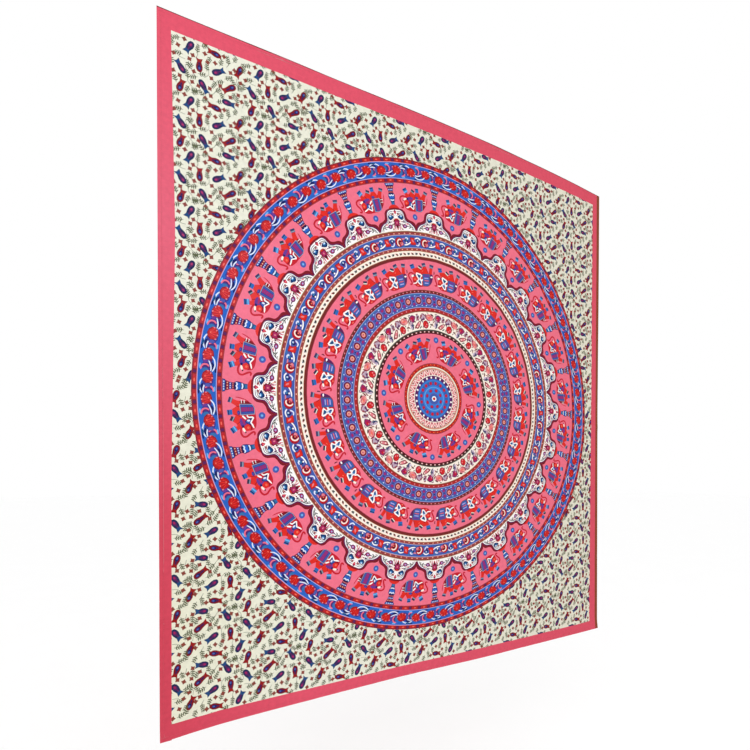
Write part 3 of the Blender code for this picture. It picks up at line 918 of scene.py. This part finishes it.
def hang():
    """Hangs a coarse sheet from its top row and returns its swing as rows from top to bottom."""
    bpy.ops.mesh.primitive_grid_add(x_subdivisions=HANG_ACROSS, y_subdivisions=HANG_DOWN, size=1.0)
    sheet = bpy.context.object
    for v in sheet.data.vertices:
        u, w = v.co.x + 0.5, 0.5 - v.co.y
        ripple = held_wave(u) * (1 - 0.6 * w) + 0.0016 * math.sin(9 * w + 5 * u) * w
        v.co = (LEFT + u * WIDTH, ripple, TOP - w * HEIGHT)
    top_row = [v.index for v in sheet.data.vertices if v.co.z > TOP - 0.001]
    low_corners = [v.index for v in sheet.data.vertices
                   if v.co.z < BOTTOM + 0.001 and abs(v.co.x) > RIGHT - 0.001]
    pins = sheet.vertex_groups.new(name="pins")
    pins.add(top_row + low_corners, 1.0, "REPLACE")
    cotton = sheet.modifiers.new("cotton", "CLOTH")
    cotton.settings.quality = 6
    cotton.settings.mass = 0.12
    cotton.settings.tension_stiffness = 30
    cotton.settings.compression_stiffness = 30
    cotton.settings.bending_stiffness = 0.4
    cotton.settings.vertex_group_mass = "pins"
    cotton.point_cache.frame_start = 1
    cotton.point_cache.frame_end = 40
    for frame_number in range(1, 41):
        bpy.context.scene.frame_set(frame_number)
    hung = sheet.evaluated_get(bpy.context.evaluated_depsgraph_get())
    swing = np.array([v.co.y for v in hung.data.vertices]).reshape(HANG_DOWN + 1, HANG_ACROSS + 1)[::-1]
    bpy.context.scene.frame_set(1)
    bpy.data.objects.remove(sheet, do_unlink=True)
    return swing


swing = hang()
MOST_SWING = 0.006
swing = np.clip(swing, -MOST_SWING, MOST_SWING)
print("the cloth swings, in mm:", round(float(swing.min()) / MM, 2), "to",
      round(float(swing.max()) / MM, 2))

# %% Fold lines and the function that places everything
PRESSED_LINES = (("x", -0.245, 1.3), ("z", -0.075, -1.2), ("z", -0.770, 1.1))
PRESS_WIDTH = 0.010


def surface(x, z):
    """How far the cloth stands behind or before its flat place, for arrays of x and z."""
    u = np.clip((np.asarray(x) - LEFT) / WIDTH, 0, 1) * HANG_ACROSS
    w = np.clip((TOP - np.asarray(z)) / HEIGHT, 0, 1) * HANG_DOWN
    i = np.minimum(u.astype(int), HANG_ACROSS - 1)
    j = np.minimum(w.astype(int), HANG_DOWN - 1)
    fu, fw = u - i, w - j
    fu, fw = fu * fu * (3 - 2 * fu), fw * fw * (3 - 2 * fw)
    y = (swing[j, i] * (1 - fu) + swing[j, i + 1] * fu) * (1 - fw) \
        + (swing[j + 1, i] * (1 - fu) + swing[j + 1, i + 1] * fu) * fw
    for axis, at, tall in PRESSED_LINES:
        away = np.abs(np.asarray(x if axis == "x" else z) - at)
        y = y + tall * MM * np.exp(-away / PRESS_WIDTH)
    return y


print(len(PRESSED_LINES), "pressed lines")

# %% [markdown]
# Now the cloth itself. Every outline goes into one flat triangulation, which splits the cloth
# where outlines cross and says which patches each triangle lies in. The last of them is the one
# on top, so it gives the triangle its dye. Solid operators could draw one patch at a time, but
# thousands of interlocking outlines are beyond them, which is why this mesh is made by code.

# %% Find the dye of every spot
def turned_left(outline):
    area = sum(x0 * y1 - x1 * y0 for (x0, y0), (x1, y1) in zip(outline, outline[1:] + outline[:1]))
    return outline if area > 0 else outline[::-1]


points, faces = [], []
for dye, outline in printed:
    start = len(points)
    points += [Vector(p) for p in turned_left(outline)]
    faces.append(list(range(start, len(points))))
WELD = 1e-5
spots, _, pieces, _, _, patches_under = delaunay_2d_cdt(points, [], faces, 0, WELD, True)
dye_of_patch = [DYE_NAMES.index(dye) for dye, _ in printed]
NO_CLOTH = -1
spot_dye = np.array([dye_of_patch[max(under)] if under else NO_CLOTH for under in patches_under])
zone = np.array([int(np.searchsorted((WHEEL_FIRST, INNER_FIRST), max(under), "right")) if under else 0
                 for under in patches_under])
dye_finder = BVHTree.FromPolygons([(p.x, p.y, 0.0) for p in spots], pieces)
print(len(points), "outline points gave", len(pieces), "triangles")

# %% [markdown]
# Much of that lies hidden under later patches. Only the lines where one dye meets another are
# wanted, so they are picked out, and points that a line can spare are dropped, as a cutter
# would smooth a stencil.

# %% Keep the lines between dyes
triangles = np.array(pieces)
sides = np.sort(np.concatenate([triangles[:, [0, 1]], triangles[:, [1, 2]], triangles[:, [2, 0]]]),
                axis=1)
owner = np.tile(np.arange(len(triangles)), 3)
order = np.lexsort((sides[:, 1], sides[:, 0]))
sides, owner = sides[order], owner[order]
twin = np.nonzero((sides[1:] == sides[:-1]).all(axis=1))[0]
alone = np.ones(len(sides), dtype=bool)
alone[twin] = False
alone[twin + 1] = False
dye_a, dye_b = spot_dye[owner[twin]], spot_dye[owner[twin + 1]]
meets = sides[twin[dye_a != dye_b]]
rim = np.concatenate([sides[alone & (spot_dye[owner] != NO_CLOTH)],
                      sides[twin[(dye_a != dye_b) & ((dye_a == NO_CLOTH) | (dye_b == NO_CLOTH))]]])
next_to = {}
for a, b in np.concatenate([meets, sides[alone & (spot_dye[owner] != NO_CLOTH)]]).tolist():
    next_to.setdefault(a, set()).add(b)
    next_to.setdefault(b, set()).add(a)
fixed = set(rim.ravel().tolist())
STRAIGHT_ENOUGH = 0.00040
before = len(next_to)
for tidying in range(3):
    touched = set()
    for p in list(next_to):
        if p in fixed or p in touched or len(next_to[p]) != 2:
            continue
        a, b = next_to[p]
        if b in next_to[a]:
            continue
        along, off = spots[b] - spots[a], spots[p] - spots[a]
        if abs(along.x * off.y - along.y * off.x) < STRAIGHT_ENOUGH * along.length:
            next_to[a].discard(p)
            next_to[b].discard(p)
            next_to[a].add(b)
            next_to[b].add(a)
            del next_to[p]
            touched.update((a, b))
print(before, "points on the lines, of which", len(next_to), "are needed")

# %% [markdown]
# The second cut uses those lines alone. Loose points in between let the cloth bend evenly, and
# straight cuts follow the pressed lines.

# %% Cut the cloth
number = {p: k for k, p in enumerate(next_to)}
points = [spots[p] for p in next_to]
edges = [(number[p], number[q]) for p in next_to for q in next_to[p] if p < q]
for axis, at, tall in PRESSED_LINES:
    for aside in (-0.016, -0.006, 0.0, 0.006, 0.016):
        start = len(points)
        if axis == "x":
            points += [Vector((at + aside, BOTTOM + 0.03)), Vector((at + aside, TOP - 0.001))]
        else:
            points += [Vector((LEFT + 0.001, at + aside)), Vector((RIGHT - 0.001, at + aside))]
        edges.append((start, start + 1))
STEP = 0.032
for i in range(1, int(WIDTH / STEP)):
    for j in range(1, int(HEIGHT / STEP)):
        points.append(Vector((LEFT + (i + 0.5 * (j % 2)) * STEP, BOTTOM + j * STEP + 0.002)))
cut_points, _, cut_faces, _, _, _ = delaunay_2d_cdt(points, edges, [], 0, WELD, True)
flat = np.array([tuple(p) for p in cut_points])
DOWN = Vector((0.0, 0.0, -1.0))


def spot_at(face):
    x, z = flat[face].mean(axis=0)
    return dye_finder.ray_cast(Vector((x, z, 1.0)), DOWN)[2]


spot_of = [spot_at(face) for face in cut_faces]
kept = [k for k, spot in enumerate(spot_of) if spot is not None and spot_dye[spot] != NO_CLOTH]
print(len(cut_points), "points,", len(kept), "triangles")

# %% [markdown]
# It is one cloth, but so finely cut that it is kept as three meshes: the field with its border,
# the wide outer rings and the inner rings. Two neighbours have the same points where they meet,
# so no line shows between them.

# %% Make the printed sheet
def make_sheet(name, chosen):
    """A mesh of the chosen triangles, with its dye, its flat map and soft shading."""
    faces_here = np.array([cut_faces[k] for k in chosen])
    used, renumbered = np.unique(faces_here, return_inverse=True)
    x, z = flat[used, 0], flat[used, 1]
    places = np.column_stack([x + MIDDLE_X, CLOTH_Y + surface(x, z), z + MIDDLE_Z])
    mesh = bpy.data.meshes.new(name)
    mesh.from_pydata(places.tolist(), [], renumbered.reshape(-1, 3).tolist())
    dye_layer = mesh.color_attributes.new("dye", "FLOAT_COLOR", "CORNER")
    colours = DYE_COLOURS[spot_dye[[spot_of[k] for k in chosen]]]
    dye_layer.data.foreach_set("color", np.repeat(colours, 3, axis=0).ravel())
    uv = mesh.uv_layers.new(name="OFBake")
    corner_points = np.empty(len(mesh.loops), dtype=np.int32)
    mesh.loops.foreach_get("vertex_index", corner_points)
    across = np.column_stack([x - x.min(), z - z.min()]) / max(np.ptp(x), np.ptp(z)) * 0.97 + 0.015
    uv.data.foreach_set("uv", across[corner_points].ravel())
    mesh.polygons.foreach_set("use_smooth", np.ones(len(mesh.polygons), dtype=bool))
    made = bpy.data.objects.new(name, mesh)
    bpy.context.scene.collection.objects.link(made)
    area = sum(p.area for p in mesh.polygons)
    print(name, "has", len(mesh.polygons), "triangles, area", round(area, 3))
    return made


sheets = [make_sheet(name, [k for k in kept if zone[spot_of[k]] == part])
          for part, name in enumerate(("printed_field", "outer_rings", "inner_rings"))]

# %% [markdown]
# The finish of the cloth is plain-woven cotton, block-printed. The dye comes from the colour
# stored on the mesh. Over it lie what makes it cotton: threads that cross at every step, thick
# and thin yarns that run as faint streaks, and dye that took unevenly. The back shows the same
# print, paler, because the dye only half soaks through.

# %% Node helpers and the cotton recipe
def node(tree, kind, inputs=None, **settings):
    made = tree.nodes.new(kind)
    for name, value in settings.items():
        setattr(made, name, value)
    for name, value in (inputs or {}).items():
        if isinstance(value, bpy.types.NodeSocket):
            tree.links.new(value, made.inputs[name])
        else:
            made.inputs[name].default_value = value
    return made


def mixed(tree, blend, factor, a, b):
    made = node(tree, "ShaderNodeMix", data_type="RGBA", blend_type=blend)
    for slot, value in ((0, factor), (6, a), (7, b)):
        if isinstance(value, bpy.types.NodeSocket):
            tree.links.new(value, made.inputs[slot])
        else:
            made.inputs[slot].default_value = value
    return made.outputs[2]


def grey_band(tree, value, low, high):
    """Turns a 0 to 1 value into a grey between low and high."""
    band = node(tree, "ShaderNodeMapRange", {"Value": value, "To Min": low, "To Max": high})
    return band.outputs["Result"]


THREAD_PITCH = 0.0009
SLUB = 0.05


def cotton(name, dye_socket, roughness=0.86, show_back=True):
    """Woven cotton. dye_socket(tree) gives the colour that the cloth was dyed."""
    material = bpy.data.materials.new(name)
    material.use_nodes = True
    tree = material.node_tree
    shader = tree.nodes["Principled BSDF"]
    shader.inputs["Roughness"].default_value = roughness
    shader.inputs["Specular IOR Level"].default_value = 0.12
    shader.inputs["Sheen Weight"].default_value = 0.02
    where = node(tree, "ShaderNodeTexCoord").outputs["Object"]
    wave_scale = 2 * math.pi / (20 * THREAD_PITCH)
    yarn = {"Vector": where, "Scale": wave_scale, "Distortion": 1.2, "Detail Scale": 0.6}
    warp = node(tree, "ShaderNodeTexWave", yarn, bands_direction="X")
    weft = node(tree, "ShaderNodeTexWave", yarn, bands_direction="Z")
    threads = node(tree, "ShaderNodeMath", {0: warp.outputs["Fac"], 1: weft.outputs["Fac"]},
                   operation="MAXIMUM").outputs["Value"]
    colour = dye_socket(tree)
    mottling = node(tree, "ShaderNodeTexNoise", {"Vector": where, "Scale": 70.0, "Detail": 4.0})
    colour = mixed(tree, "MULTIPLY", 1.0, colour, grey_band(tree, mottling.outputs["Fac"], 0.86, 1.12))
    for stretch in ((14.0, 1.0, 620.0), (620.0, 1.0, 14.0)):
        along = node(tree, "ShaderNodeMapping", {"Vector": where, "Scale": stretch}).outputs["Vector"]
        slub = node(tree, "ShaderNodeTexNoise", {"Vector": along, "Scale": 1.0, "Detail": 2.0})
        streaks = grey_band(tree, slub.outputs["Fac"], 1 - SLUB, 1 + SLUB)
        colour = mixed(tree, "MULTIPLY", 1.0, colour, streaks)
    colour = mixed(tree, "MULTIPLY", 1.0, colour, grey_band(tree, threads, 0.90, 1.02))
    if show_back:
        behind = node(tree, "ShaderNodeNewGeometry").outputs["Backfacing"]
        pale = mixed(tree, "MIX", 0.42, colour, (0.72, 0.66, 0.56, 1.0))
        colour = mixed(tree, "MIX", behind, colour, pale)
    tree.links.new(colour, shader.inputs["Base Color"])
    crumple = node(tree, "ShaderNodeTexNoise", {"Vector": where, "Scale": 16.0, "Detail": 3.0})
    soft_bump = node(tree, "ShaderNodeBump", {"Height": crumple.outputs["Fac"], "Strength": 0.22,
                                              "Distance": 0.004})
    fine_bump = node(tree, "ShaderNodeBump", {"Height": threads, "Strength": 0.35, "Distance": 0.0002,
                                              "Normal": soft_bump.outputs["Normal"]})
    tree.links.new(fine_bump.outputs["Normal"], shader.inputs["Normal"])
    return material


def along_cloth(tree, axis, reach, at_start, at_end):
    """Changes from one value to another between two places, as shares of the width or height."""
    place = node(tree, "ShaderNodeTexCoord").outputs["Object"]
    place = node(tree, "ShaderNodeSeparateXYZ", {"Vector": place}).outputs[axis]
    start, size = (MIDDLE_X + LEFT, WIDTH) if axis == "X" else (MIDDLE_Z + TOP, -HEIGHT)
    return node(tree, "ShaderNodeMapRange", {"Value": place, "From Min": start + reach[0] * size,
                                             "From Max": start + reach[1] * size, "To Min": at_start,
                                             "To Max": at_end}).outputs["Result"]


def times(tree, a, b):
    return node(tree, "ShaderNodeMath", {0: a, 1: b}, operation="MULTIPLY").outputs["Value"]


def printed_dye(tree):
    """The stored dye, changed across the cloth: darker and warmer to the right, red dyes darker at the
    lower left and pinker in the upper part of the left side.
    """
    dye = node(tree, "ShaderNodeAttribute", attribute_name="dye").outputs["Color"]
    rightward = along_cloth(tree, "X", (0.1, 1.0), 0.0, 0.75)
    colour = mixed(tree, "MULTIPLY", rightward, dye, (0.88, 0.83, 0.78, 1.0))
    near_left = along_cloth(tree, "X", (0.0, 0.22), 1.0, 0.0)
    low = times(tree, near_left, along_cloth(tree, "Z", (0.35, 0.85), 0.0, 1.0))
    colour = mixed(tree, "MULTIPLY", low, colour, (0.97, 0.95, 0.88, 1.0))
    parts = node(tree, "ShaderNodeSeparateColor", {"Color": dye})
    redness = node(tree, "ShaderNodeMath", {0: parts.outputs["Red"], 1: parts.outputs["Green"]},
                   operation="SUBTRACT").outputs["Value"]
    red_dye = node(tree, "ShaderNodeMapRange", {"Value": redness, "From Min": 0.1,
                                                "From Max": 0.5}).outputs["Result"]
    colour = mixed(tree, "MULTIPLY", times(tree, low, red_dye), colour, (0.86, 0.70, 0.76, 1.0))
    middle = times(tree, along_cloth(tree, "Z", (0.0, 0.28), 0.0, 1.0),
                   along_cloth(tree, "Z", (0.3, 0.7), 0.25, 0.0))
    pink_share = times(tree, times(tree, redness, near_left), middle)
    return mixed(tree, "MIX", pink_share, colour, (0.84, 0.36, 0.50, 1.0))


printed_cotton = cotton("printed_cotton", printed_dye)
for piece in sheets:
    piece.data.materials.append(printed_cotton)
print("cotton with", len(printed_cotton.node_tree.nodes), "nodes")

# %% [markdown]
# Each edge is turned back to make a flat hem 14 mm deep, with its raw edge tucked in. A
# strip is started as a grid, its rows are carried round the profile of the fold, and Solidify
# gives it the thickness of the cloth. It is a shade paler than the border, being its wrong side.

# %% Hems
HEM_DEPTH = 0.014
TUCK_GAP = 0.0004
FOLD_THICKNESS = 0.0003
FOLD_PROFILE = ((0.0006, 0.0001), (0.0001, 0.0003), (0.0001, 0.0007), (0.0006, 0.0011),
                (0.0020, 0.00125), (0.0050, 0.00120), (0.0080, 0.00115), (0.0110, 0.00115),
                (0.0130, 0.00110), (0.0138, 0.0009), (0.0136, 0.0006), (0.0126, 0.0005))
SIDES = ("top", "bottom", "left", "right")


def edge_place(side, t, inset):
    """A point inset from one edge, t of the way along it, as x and z."""
    if side in ("top", "bottom"):
        x = LEFT + t * WIDTH
        z = edge_height(x, side == "top") + (-inset if side == "top" else inset)
        return x, z
    x = LEFT + inset if side == "left" else RIGHT - inset
    return x, BOTTOM + t * HEIGHT


def hem_dye(tree):
    where = node(tree, "ShaderNodeTexCoord").outputs["Object"]
    blotch = node(tree, "ShaderNodeTexNoise", {"Vector": where, "Scale": 9.0, "Detail": 3.0})
    return mixed(tree, "MIX", blotch.outputs["Fac"], (0.62, 0.13, 0.17, 1.0), (0.74, 0.24, 0.27, 1.0))


def point_outwards():
    """Turns every face of the active piece outwards."""
    bpy.ops.object.mode_set(mode="EDIT")
    bpy.ops.mesh.select_all(action="SELECT")
    bpy.ops.mesh.normals_make_consistent(inside=False)
    bpy.ops.object.mode_set(mode="OBJECT")


hem_cotton = cotton("hem_cotton", hem_dye, show_back=False)
hems = {}
for side in SIDES:
    sideways = side in ("left", "right")
    tuck = HEM_DEPTH + TUCK_GAP if sideways else 0.0
    bpy.ops.mesh.primitive_grid_add(x_subdivisions=96, y_subdivisions=len(FOLD_PROFILE) - 1, size=2.0)
    hem = bpy.context.object
    hem.name = "folded_hem_" + side
    for v in hem.data.vertices:
        t = (v.co.x + 1) / 2
        row = round((v.co.y + 1) / 2 * (len(FOLD_PROFILE) - 1))
        inset, behind = FOLD_PROFILE[row]
        span = HEIGHT if sideways else WIDTH
        t = (tuck + t * (span - 2 * tuck)) / span
        x, z = edge_place(side, t, inset)
        if sideways:
            low, high = edge_height(x, False) + tuck, edge_height(x, True) - tuck
            z = low + (v.co.x + 1) / 2 * (high - low)
        y = CLOTH_Y + float(surface(x, z)) + behind
        v.co = (x + MIDDLE_X, y, z + MIDDLE_Z)
    point_outwards()
    wall_mod = hem.modifiers.new("cloth", "SOLIDIFY")
    wall_mod.thickness = FOLD_THICKNESS
    wall_mod.offset = 0.0
    bpy.ops.object.modifier_apply(modifier="cloth")
    bpy.ops.object.shade_smooth()
    hem.data.materials.append(hem_cotton)
    hems[side] = hem
    bpy.ops.object.select_all(action="DESELECT")
print("hems", [len(h.data.polygons) for h in hems.values()], "faces")

# %% [markdown]
# A machine sews each hem with a lockstitch, so a row of needle stitches shows on the front and
# a row of bobbin stitches on the back. One stitch is a short six-sided thread whose ends dive
# into the cloth. It is made once and set down every 3 mm along the edge.

# %% One stitch
STITCH_PITCH = 0.003
STITCH_LINE = 0.0115
THREAD = 0.0004
NEEDLE_LIES, BOBBIN_LIES = -0.00030, 0.00152
bpy.ops.mesh.primitive_cylinder_add(vertices=6, radius=THREAD / 2, depth=STITCH_PITCH * 0.92,
                                    rotation=(0.0, math.pi / 2, 0.0))
stitch = bpy.context.object
bpy.ops.object.transform_apply(location=True, rotation=True, scale=True)
bpy.ops.object.mode_set(mode="EDIT")
for at in (-0.0009, -0.0003, 0.0003, 0.0009):
    bpy.ops.mesh.select_all(action="SELECT")
    bpy.ops.mesh.bisect(plane_co=(at, 0.0, 0.0), plane_no=(1.0, 0.0, 0.0))
bpy.ops.object.mode_set(mode="OBJECT")
for v in stitch.data.vertices:
    v.co.y += 0.00028 * (abs(v.co.x) / (STITCH_PITCH / 2)) ** 3
stitch_points = np.array([tuple(v.co) for v in stitch.data.vertices])
stitch_faces = [tuple(p.vertices) for p in stitch.data.polygons]
bpy.data.objects.remove(stitch, do_unlink=True)
print("one stitch has", len(stitch_faces), "faces")

# %% Sewing thread and the rows of stitches
thread_finish = bpy.data.materials.new("sewing_thread")
thread_finish.use_nodes = True
tree = thread_finish.node_tree
shader = tree.nodes["Principled BSDF"]
shader.inputs["Roughness"].default_value = 0.55
where = node(tree, "ShaderNodeTexCoord").outputs["Object"]
twist = node(tree, "ShaderNodeTexWave", {"Vector": where, "Scale": 900.0}, bands_direction="DIAGONAL")
ply = mixed(tree, "MIX", twist.outputs["Fac"], (0.42, 0.05, 0.08, 1.0), (0.68, 0.14, 0.18, 1.0))
tree.links.new(ply, shader.inputs["Base Color"])
relief = node(tree, "ShaderNodeBump",
              {"Height": twist.outputs["Fac"], "Strength": 0.4, "Distance": 0.00005})
tree.links.new(relief.outputs["Normal"], shader.inputs["Normal"])


def stitch_row(name, side, behind, face):
    """Sets stitches along one edge. face is -1 on the front and 1 on the back."""
    sideways = side in ("left", "right")
    span = HEIGHT if sideways else WIDTH
    ends = 0.016 if sideways else 0.005
    count = int((span - 2 * ends) / STITCH_PITCH)
    made_points, made_faces = [], []
    for k in range(count):
        t = (ends + (k + 0.5) * STITCH_PITCH) / span
        x0, z0 = edge_place(side, t - 0.0008 / span, STITCH_LINE)
        x1, z1 = edge_place(side, t + 0.0008 / span, STITCH_LINE)
        if sideways:
            lift = edge_height(x0, False) - BOTTOM
            drop = edge_height(x0, True) - TOP
            shift = lift * (1 - t) + drop * t
            z0, z1 = z0 + shift, z1 + shift
        run = math.hypot(x1 - x0, z1 - z0)
        ux, uz = (x1 - x0) / run, (z1 - z0) / run
        y = CLOTH_Y + float(surface((x0 + x1) / 2, (z0 + z1) / 2)) + behind
        base = len(made_points)
        for sx, sy, sz in stitch_points:
            made_points.append((MIDDLE_X + (x0 + x1) / 2 + sx * ux - sz * uz, y - face * sy,
                                MIDDLE_Z + (z0 + z1) / 2 + sx * uz + sz * ux))
        made_faces += [tuple(base + i for i in f) for f in stitch_faces]
    row = bpy.data.meshes.new(name)
    row.from_pydata(made_points, [], made_faces)
    made = bpy.data.objects.new(name, row)
    bpy.context.scene.collection.objects.link(made)
    bpy.context.view_layer.objects.active = made
    made.select_set(True)
    point_outwards()
    bpy.ops.object.shade_smooth_by_angle(angle=math.radians(50))
    made.data.materials.append(thread_finish)
    bpy.ops.object.select_all(action="DESELECT")
    return made


threads = {}
for side in SIDES:
    threads["needle", side] = stitch_row("needle_stitches_" + side, side, NEEDLE_LIES, -1)
    threads["bobbin", side] = stitch_row("bobbin_stitches_" + side, side, BOBBIN_LIES, 1)
print("stitch rows", {name: len(row.data.polygons) for name, row in threads.items()})

# %% [markdown]
# Last, each piece is tied to the imported model: it rides on the one body and it stands for
# the plain CAD solid in its place.

# %% Tie the pieces to the model
for piece in sheets:
    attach(piece, "root")
    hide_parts("printed_panel")
for side in SIDES:
    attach(hems[side], "root")
    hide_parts("hem_" + side)
    for kind in ("needle", "bobbin"):
        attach(threads[kind, side], "root")
        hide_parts(kind + "_thread_" + side)
print("pieces tied:", len(sheets) + len(hems) + len(threads))
